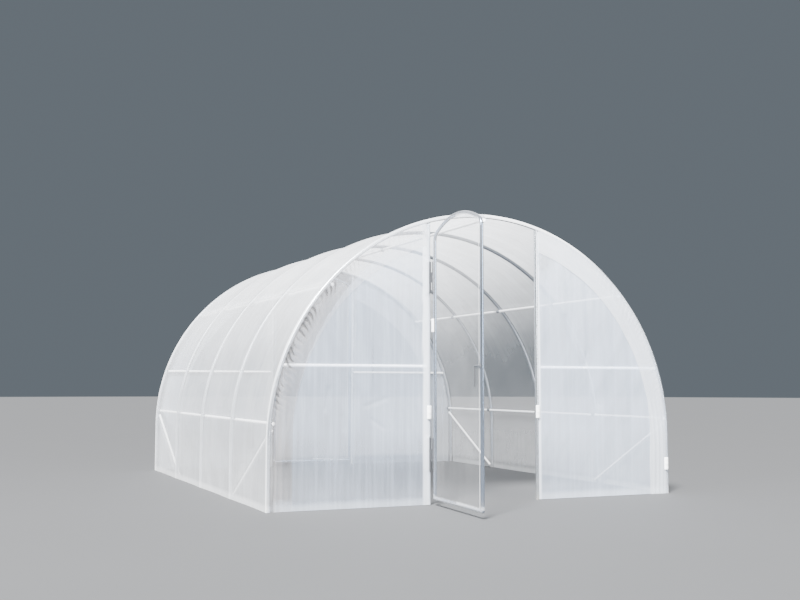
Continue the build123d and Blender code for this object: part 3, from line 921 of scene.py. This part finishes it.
FRONT_LEFT_CLIP, FRONT_RIGHT_CLIP, REAR_RIGHT_CLIP, LEG_CLIP = 0.594, 0.592, 0.587, 0.213
BOLT_RISE = 0.0038
LEAF_SCREW_SPACING = 0.085
SADDLE_SCREW_OFFSET = 0.0108
SADDLE_THICKNESS = 0.002
SADDLE_DROP = 0.0153


def clip_shape():
    """A snap-on clip, its back open: a half shell with flared lips and raised rings."""
    clip = bmesh.new()
    low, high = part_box("rear_door_clip")
    length, proud, radius = high.z - low.z, high.y - low.y, (high.x - low.x) / 2
    bmesh.ops.create_cone(
        clip, cap_ends=False, segments=40, radius1=radius, radius2=radius, depth=length
    )
    bmesh.ops.bisect_plane(
        clip, geom=everything(clip), plane_co=(0, 0, 0), plane_no=(0, 1, 0), clear_outer=True
    )
    ring_edges = (0.46, 0.42, 0.38, 0.10, 0.06)
    for share in ring_edges:
        for cut in (-share * length, share * length):
            bmesh.ops.bisect_plane(
                clip, geom=everything(clip), plane_co=(0, 0, cut), plane_no=(0, 0, 1)
            )
    for vert in clip.verts:
        share = abs(vert.co.z) / length
        raised = 1.0 if 0.37 < share < 0.44 or share < 0.08 else 0.0
        pinch = 0.93 if share > 0.49 else 1.0
        out = -vert.co.y / radius
        vert.co.x *= pinch * (1 + 0.05 * raised * out)
        vert.co.y *= pinch * (0.88 + 0.12 * raised * out) * proud / radius
    open_edges = [edge for edge in clip.edges if edge.is_boundary]
    lips = [edge for edge in open_edges if all(abs(vert.co.y) < 1e-5 for vert in edge.verts)]
    for grown in bmesh.ops.extrude_edge_only(clip, edges=lips)["geom"]:
        if isinstance(grown, bmesh.types.BMVert):
            grown.co.x *= 1.16
    facing_out(clip)
    bmesh.ops.solidify(clip, geom=clip.faces[:], thickness=sizes().clip_wall)
    facing_out(clip)
    sharp = [e for e in clip.edges if len(e.link_faces) == 2 and e.calc_face_angle(0) > 0.9]
    bmesh.ops.bevel(
        clip, geom=sharp, offset=0.0004, segments=2, profile=0.5, affect="EDGES", material=-1
    )
    bmesh.ops.remove_doubles(clip, verts=clip.verts[:], dist=1e-6)
    return clip


def bolt_shape():
    """A hexagon bolt head on its washer with the bolt's end over it, standing along Z."""
    bolt = bmesh.new()
    size = sizes().bolt_size
    washer = (24, size * 0.80, 0.0012, 0.0006)
    head = (6, size / 2, 0.0042, 0.0033)
    tip = (16, size * 0.24, 0.0014, 0.0060)
    for segments, radius, depth, middle in (washer, head, tip):
        made = bmesh.ops.create_cone(
            bolt, cap_ends=True, segments=segments, radius1=radius, radius2=radius, depth=depth
        )["verts"]
        bmesh.ops.translate(bolt, vec=(0, 0, middle), verts=made)
        edges = dict.fromkeys(edge for vert in made for edge in vert.link_edges)
        top = [edge for edge in edges if all(vert.co.z > middle for vert in edge.verts)]
        bmesh.ops.bevel(
            bolt, geom=top, offset=depth * 0.2, segments=2, profile=0.5, affect="EDGES",
            material=-1,
        )
    return bolt


def screw_shape():
    """A domed screw head with a cross slot, standing along Z."""
    screw = bmesh.new()
    radius = sizes().screw_size / 2
    sectors = 20
    bmesh.ops.create_uvsphere(screw, u_segments=sectors, v_segments=12, radius=radius)
    bmesh.ops.bisect_plane(
        screw, geom=everything(screw), plane_co=(0, 0, 0), plane_no=(0, 0, 1), clear_inner=True
    )
    for vert in screw.verts:
        vert.co.z *= 0.55

    def in_slot(face):
        middle = face.calc_center_median()
        sector = int((middle.xy.angle_signed(Vector((1, 0)), 0) + pi) / (2 * pi / sectors))
        return middle.z > radius * 0.50 and sector % (sectors // 4) == 0

    slots = [face for face in screw.faces if in_slot(face)]
    bmesh.ops.inset_individual(
        screw, faces=slots, thickness=radius * 0.02, depth=-radius * 0.18
    )
    bmesh.ops.holes_fill(screw, edges=[edge for edge in screw.edges if edge.is_boundary])
    return facing_out(screw)


# Pieces


class Step:
    """What the operators share."""

    bl_options = {"REGISTER"}


def aimed_lamp(light, direction, spot=(0, 0, 0)):
    """Put a light in the scene, pointed along a direction."""
    lamp = bpy.data.objects.new(light.name, light)
    lamp.location = spot
    lamp.rotation_euler = direction.to_track_quat("-Z", "Y").to_euler()
    bpy.context.scene.collection.objects.link(lamp)


class TUNNEL_OT_stage(Step, bpy.types.Operator):
    """Put in the floor, the soft lights and the camera"""

    bl_idname = "tunnel.stage"
    bl_label = "Stage, lights and camera"

    def execute(self, context):
        scene = context.scene
        bm = bmesh.new()
        bmesh.ops.create_circle(bm, cap_ends=True, segments=64, radius=FLOOR_RADIUS)
        bmesh.ops.translate(bm, vec=(0, 0, -FLOOR_DROP), verts=bm.verts)
        finish = floor_finish("floor", colours().floor)
        floor = new_piece("floor", bm, finish, None, smooth=False)

        world = bpy.data.worlds.new("studio")
        world.use_nodes = True
        background = world.node_tree.nodes["Background"]
        background.inputs["Color"].default_value = SKY_COLOUR
        background.inputs["Strength"].default_value = SKY_STRENGTH
        scene.world = world

        sun = bpy.data.lights.new("sun", "SUN")
        sun.energy, sun.angle = SUN_STRENGTH, SUN_ANGLE
        aimed_lamp(sun, SUN_DIRECTION)
        for name, spot, aim, power in SOFTBOXES:
            light = bpy.data.lights.new(name, "AREA")
            light.size, light.energy = SOFTBOX_SIZE, power
            aimed_lamp(light, aim - spot, spot)

        view = bpy.data.cameras.new("camera")
        view.sensor_width = CAMERA_SENSOR
        view.lens = CAMERA_FOCAL_PIXELS * CAMERA_SENSOR / PHOTO_WIDTH
        view.clip_end = CAMERA_REACH
        camera = bpy.data.objects.new("camera", view)
        yaw = Matrix.Rotation(-CAMERA_YAW, 4, "Z")
        pitch = Matrix.Rotation(pi / 2 + CAMERA_PITCH, 4, "X")
        roll = Matrix.Rotation(CAMERA_ROLL, 4, "Z")
        camera.matrix_world = Matrix.Translation(CAMERA_PLACE) @ yaw @ pitch @ roll
        scene.collection.objects.link(camera)
        scene.camera = camera
        return {"FINISHED"}


class TUNNEL_OT_tubes(Step, bpy.types.Operator):
    """Finish the hoops, purlins, clamps, bars, braces, posts and door frames"""

    bl_idname = "tunnel.tubes"
    bl_label = "Tubes"

    def execute(self, context):
        tint = colours()
        white = tube_finish("white_tube", tint.tube, metal=0.12, spangle=0.10, gloss=0.34)
        zinc = tube_finish("galvanised_tube", tint.zinc, metal=0.95, spangle=0.08, gloss=0.24)
        door = tube_finish("door_tube", tint.door_tube, metal=1.0, spangle=0.08, gloss=0.20)
        bare = tube_finish("hoop_tube", tint.hoop, metal=0.93, spangle=0.12, gloss=0.32)
        # The inner hoops get painted shade that darkens them towards their tops
        inner = tube_finish(
            "inner_hoop_tube", tint.hoop, metal=0.93, spangle=0.12, gloss=0.32, painted_top_shade=1.0
        )
        corners = [f"{end}_{side}" for end in ENDS for side in SIDES]
        dress(bare, HOOP_NAMES[0], HOOP_NAMES[-1])
        dress(inner, *HOOP_NAMES[1:-1])
        dress(white, *PURLIN_NAMES)
        dress(white, *(f"{corner}_{part}" for corner in corners for part in ("bar", "brace")))
        dress(zinc, "purlin_clamps", *(f"{corner}_post" for corner in corners))
        dress(door, *(f"{end}_door_frame" for end in ENDS))
        return {"FINISHED"}


class TUNNEL_OT_cover(Step, bpy.types.Operator):
    """Lay the cover over the hoops"""

    bl_idname = "tunnel.cover"
    bl_label = "Cover"

    def execute(self, context):
        wrap = TUBE_RADIUS + sizes().film_thickness
        edge = END_Y + wrap * pi / 2 + COVER_TAIL
        columns, bay_rows, clear = 420, 25, 0.004
        bays = [(low + clear, high - clear, bay_rows) for low, high in zip(HOOP_Y, HOOP_Y[1:])]
        ends = steps((END_Y - 0.022, END_Y - 0.006, 4), (END_Y + 0.0001, edge, 12))
        pressed = [y + off for y in HOOP_Y[1:-1] for off in BESIDE_HOOPS]
        rows = sorted(set(steps(*bays) + pressed + ends + [-row for row in ends]))
        bm = sheet(columns, len(rows) - 1, cover_laid(rows))
        # The cover's film shows more towards the roof and less on the right side: painted light on
        # the roof and painted shade on the right
        finish = film_finish(
            "cover_film", colours().cover_film, haze=0.25, streaks=0.06, milk=0.46,
            flow=(0.7, 11, 1), skyward=0.50, low=-0.12, rightward=0.12, wrinkled=0.3, sweep=0.06,
        )
        cover = new_piece("cover", facing_out(bm), finish, "tunnel")
        strips = ("cover_wall", "lower_cover", "upper_cover")
        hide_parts(*(f"{side}_{strip}" for side in SIDES for strip in strips))
        2 * edge
        return {"FINISHED"}


class TUNNEL_OT_bands(Step, bpy.types.Operator):
    """Turn the cover's ends over onto the end walls and gather them"""

    bl_idname = "tunnel.bands"
    bl_label = "Turned-over bands"

    def execute(self, context):
        columns, rows, flow = 380, 26, (3, 30, 1)
        # The bold band's folds get deep painted shade
        bold = film_finish(
            "band_film", colours().band_film, haze=0.12, streaks=0.10, milk=0.4, flow=flow,
            skyward=0.10, dark=0.08, folded=0.5, shading=0.9,
        )
        pale = film_finish(
            "rear_band_film", colours().cover_film, haze=0.42, streaks=0.10, milk=0.5, flow=flow,
            skyward=0.10,
        )
        for end_name, end in ENDS.items():
            for side_name, side in SIDES.items():
                finish = bold if (end, side) == (FRONT, LEFT) else pale
                gathered = {(FRONT, LEFT): 1.0, (FRONT, RIGHT): 0.2}.get((end, side), 0.5)
                bm = facing_out(sheet(columns, rows, band_laid(end, side, gathered)))
                band = new_piece(f"{end_name}_{side_name}_band", bm, finish, "tunnel")
                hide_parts(f"{end_name}_hem_bands")
                length_to(POST_X)
        return {"FINISHED"}


class TUNNEL_OT_walls(Step, bpy.types.Operator):
    """Hang the film beside the doorways"""

    bl_idname = "tunnel.walls"
    bl_label = "End walls"

    def execute(self, context):
        wrap = END_FILM_Y - END_Y
        wrapped = steps((-wrap * WALL_TURN, 0.0, 8), (0.0, 1.0, 84))
        heights = steps((0.002, 1.60, 134), (1.60, WALL_TOP, 20))
        width = COVER_RADIUS - POST_X + 0.020
        under_arch = 0.82
        for end_name, end in ENDS.items():
            for side_name, side in SIDES.items():
                corner = f"{end_name}_{side_name}"
                name = f"{corner}_film"
                right_front = (end, side) == (FRONT, RIGHT)
                across = steps((0.0, 1.0, 86)) if right_front else wrapped
                finish = film_finish(
                    f"{name}_finish", colours().wall_film,
                    haze=0.54 if right_front else 0.38 if end == FRONT else 0.26,
                    streaks=0.09 if right_front else 0.16, milk=0.45, flow=(34, 1.4, 1),
                    skyward=0.0, low=0.16, hemmed=0.62 if end == FRONT else 0.25,
                    sweep=0.12 if right_front else 0.06,
                )
                laid = wall_laid(name, end, side, across, heights)
                bm = facing_out(sheet(len(across) - 1, len(heights) - 1, laid))
                wall = new_piece(f"{corner}_wall", bm, finish, "tunnel")
                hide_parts(name)
                width * WALL_TOP * under_arch
        return {"FINISHED"}


class TUNNEL_OT_door_films(Step, bpy.types.Operator):
    """Stretch the film over the doors"""

    bl_idname = "tunnel.door_films"
    bl_label = "Door films"

    def execute(self, context):
        finish = film_finish(
            "door_film", colours().door_film, haze=0.05, streaks=0.04, milk=0.35,
            flow=(22, 1.4, 1), skyward=0.12, hemmed=0.60, turning=0.14,
        )
        turns = [(0.0, radians(DOOR_TURN - DOOR_TURN * i / 6)) for i in range(6)]
        left_turns = [(-1.0, angle) for _, angle in turns]
        right_turns = [(1.0, angle) for _, angle in reversed(turns)]
        columns = left_turns + [(q, 0.0) for q in steps((-1.0, 1.0, 84))] + right_turns
        rows = turns + [(q, 0.0) for q in steps((0.0, 1.0, 150))] + right_turns
        for end_name, end in ENDS.items():
            door = f"{end_name}_door"
            bm = sheet(len(columns) - 1, len(rows) - 1, door_laid(end, columns, rows))
            bmesh.ops.remove_doubles(bm, verts=bm.verts[:], dist=1e-6)
            bmesh.ops.dissolve_degenerate(bm, edges=bm.edges[:], dist=1e-7)
            bm = swung_open(facing_out(bm), end)
            film = new_piece(f"{door}_sheet", bm, finish, door)
            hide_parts(f"{door}_film")
        return {"FINISHED"}


class TUNNEL_OT_clips(Step, bpy.types.Operator):
    """Snap the white clips over the film"""

    bl_idname = "tunnel.clips"
    bl_label = "Clips"

    def execute(self, context):
        finish = plastic_finish("clip_plastic", colours().plastic)
        half = clip_shape()

        def snapped_on(bm, x, z, end, face):
            turn = Matrix.Rotation(pi if end == REAR else 0.0, 4, "Z")
            moved_in(bm, half, Matrix.Translation((x, end * face, z)) @ turn)

        wall_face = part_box("rear_right_film")[1].y
        band_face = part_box("rear_hem_bands")[1].y
        leg_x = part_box("wall_clips")[1].x - CLIP_RADIUS
        bm = bmesh.new()
        snapped_on(bm, -POST_X, FRONT_LEFT_CLIP, FRONT, wall_face)
        snapped_on(bm, POST_X, FRONT_RIGHT_CLIP, FRONT, wall_face)
        snapped_on(bm, POST_X, REAR_RIGHT_CLIP, REAR, wall_face)
        snapped_on(bm, leg_x, LEG_CLIP, FRONT, band_face)
        clips = new_piece("film_clips", bm, finish, "tunnel")
        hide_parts("wall_clips")
        door_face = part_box("rear_door_clip")[0].y
        for end_name, end in ENDS.items():
            name = f"{end_name}_door_clip"
            bm = bmesh.new()
            snapped_on(bm, -DOOR_HALF, box_middle(name, "z"), end, door_face)
            bm = swung_open(bm, end)
            clip = new_piece(f"{name}_shell", bm, finish, f"{end_name}_door")
            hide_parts(name)
        half.free()
        return {"FINISHED"}


class TUNNEL_OT_fastenings(Step, bpy.types.Operator):
    """Finish the hinges and latches, and put in the clamps' bolts and their screws"""

    bl_idname = "tunnel.fastenings"
    bl_label = "Fastenings"

    def execute(self, context):
        zinc = tube_finish("zinc_plate", colours().plate, metal=0.85, spangle=0.12, gloss=0.28)
        plates = ("post_hinges", "door_hinges", "door_latch")
        dress(zinc, *(f"{end}_{plate}" for end in ENDS for plate in plates))
        self.bolt_clamps(zinc)
        self.screw_doors(zinc)
        return {"FINISHED"}

    def bolt_clamps(self, finish):
        """A bolt on every clamp, pointing at the middle of its hoop's arch."""
        bolt = bolt_shape()
        bm = bmesh.new()
        for name in PURLIN_NAMES:
            low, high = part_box(name)
            reach = (high.x - low.x) / 2 + BOLT_RISE
            for y in HOOP_Y:
                middle = Vector(((low.x + high.x) / 2, y, (low.z + high.z) / 2))
                inward = (Vector((0, y, LEG_HEIGHT)) - middle).normalized()
                turn = inward.to_track_quat("Z", "Y").to_matrix().to_4x4()
                moved_in(bm, bolt, Matrix.Translation(middle + inward * reach) @ turn)
        bolt.free()
        new_piece("clamp_bolts", bm, finish, "tunnel", smooth=False)

    def screw_doors(self, finish):
        """Three screws in each hinge's leaf on the door, and two in the latch's saddle."""
        screw = screw_shape()
        leaf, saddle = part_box("rear_door_hinges"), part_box("rear_door_latch")
        leaf_x, leaf_y = leaf[1].x - LEAF_WIDTH / 2, leaf[0].y + LEAF_THICKNESS
        saddle_y, saddle_z = saddle[0].y + SADDLE_THICKNESS, saddle[1].z - SADDLE_DROP
        lifts = (-LEAF_SCREW_SPACING, 0.0, LEAF_SCREW_SPACING)
        spots = [(leaf_x, leaf_y, middle + lift) for middle in HINGE_MIDDLES for lift in lifts]
        lifts = (-SADDLE_SCREW_OFFSET, SADDLE_SCREW_OFFSET)
        spots += [(DOOR_HALF, saddle_y, saddle_z + lift) for lift in lifts]
        for end_name, end in ENDS.items():
            door = f"{end_name}_door"
            bm = bmesh.new()
            turn = Matrix.Rotation(-end * pi / 2, 4, "X")
            for x, y, z in spots:
                moved_in(bm, screw, Matrix.Translation((x, end * y, z)) @ turn)
            new_piece(f"{door}_screws", swung_open(bm, end), finish, door)
        screw.free()


class TUNNEL_PT_dressing(bpy.types.Panel):
    """The steps that dress the frame, with their sizes and colours"""

    bl_label = "Polytunnel dressing"
    bl_idname = "TUNNEL_PT_dressing"
    bl_space_type = "VIEW_3D"
    bl_region_type = "UI"
    bl_category = "Tunnel"

    def draw(self, context):
        for step in OPERATORS:
            self.layout.operator(step.bl_idname)
        for group in (context.scene.tunnel_sizes, context.scene.tunnel_colours):
            box = self.layout.box()
            for name in group.__annotations__:
                box.prop(group, name)


OPERATORS = (
    TUNNEL_OT_stage, TUNNEL_OT_tubes, TUNNEL_OT_cover, TUNNEL_OT_bands, TUNNEL_OT_walls,
    TUNNEL_OT_door_films, TUNNEL_OT_clips, TUNNEL_OT_fastenings,
)
CLASSES = (TunnelSizes, TunnelColours, *OPERATORS, TUNNEL_PT_dressing)


def register():
    for kind in CLASSES:
        bpy.utils.register_class(kind)
    bpy.types.Scene.tunnel_sizes = bpy.props.PointerProperty(type=TunnelSizes)
    bpy.types.Scene.tunnel_colours = bpy.props.PointerProperty(type=TunnelColours)


def unregister():
    del bpy.types.Scene.tunnel_colours
    del bpy.types.Scene.tunnel_sizes
    for kind in reversed(CLASSES):
        bpy.utils.unregister_class(kind)


def main():
    register()
    bpy.ops.tunnel.stage()
    bpy.ops.tunnel.tubes()
    bpy.ops.tunnel.cover()
    bpy.ops.tunnel.bands()
    bpy.ops.tunnel.walls()
    bpy.ops.tunnel.door_films()
    bpy.ops.tunnel.clips()
    bpy.ops.tunnel.fastenings()


if __name__ == "__main__":
    main()
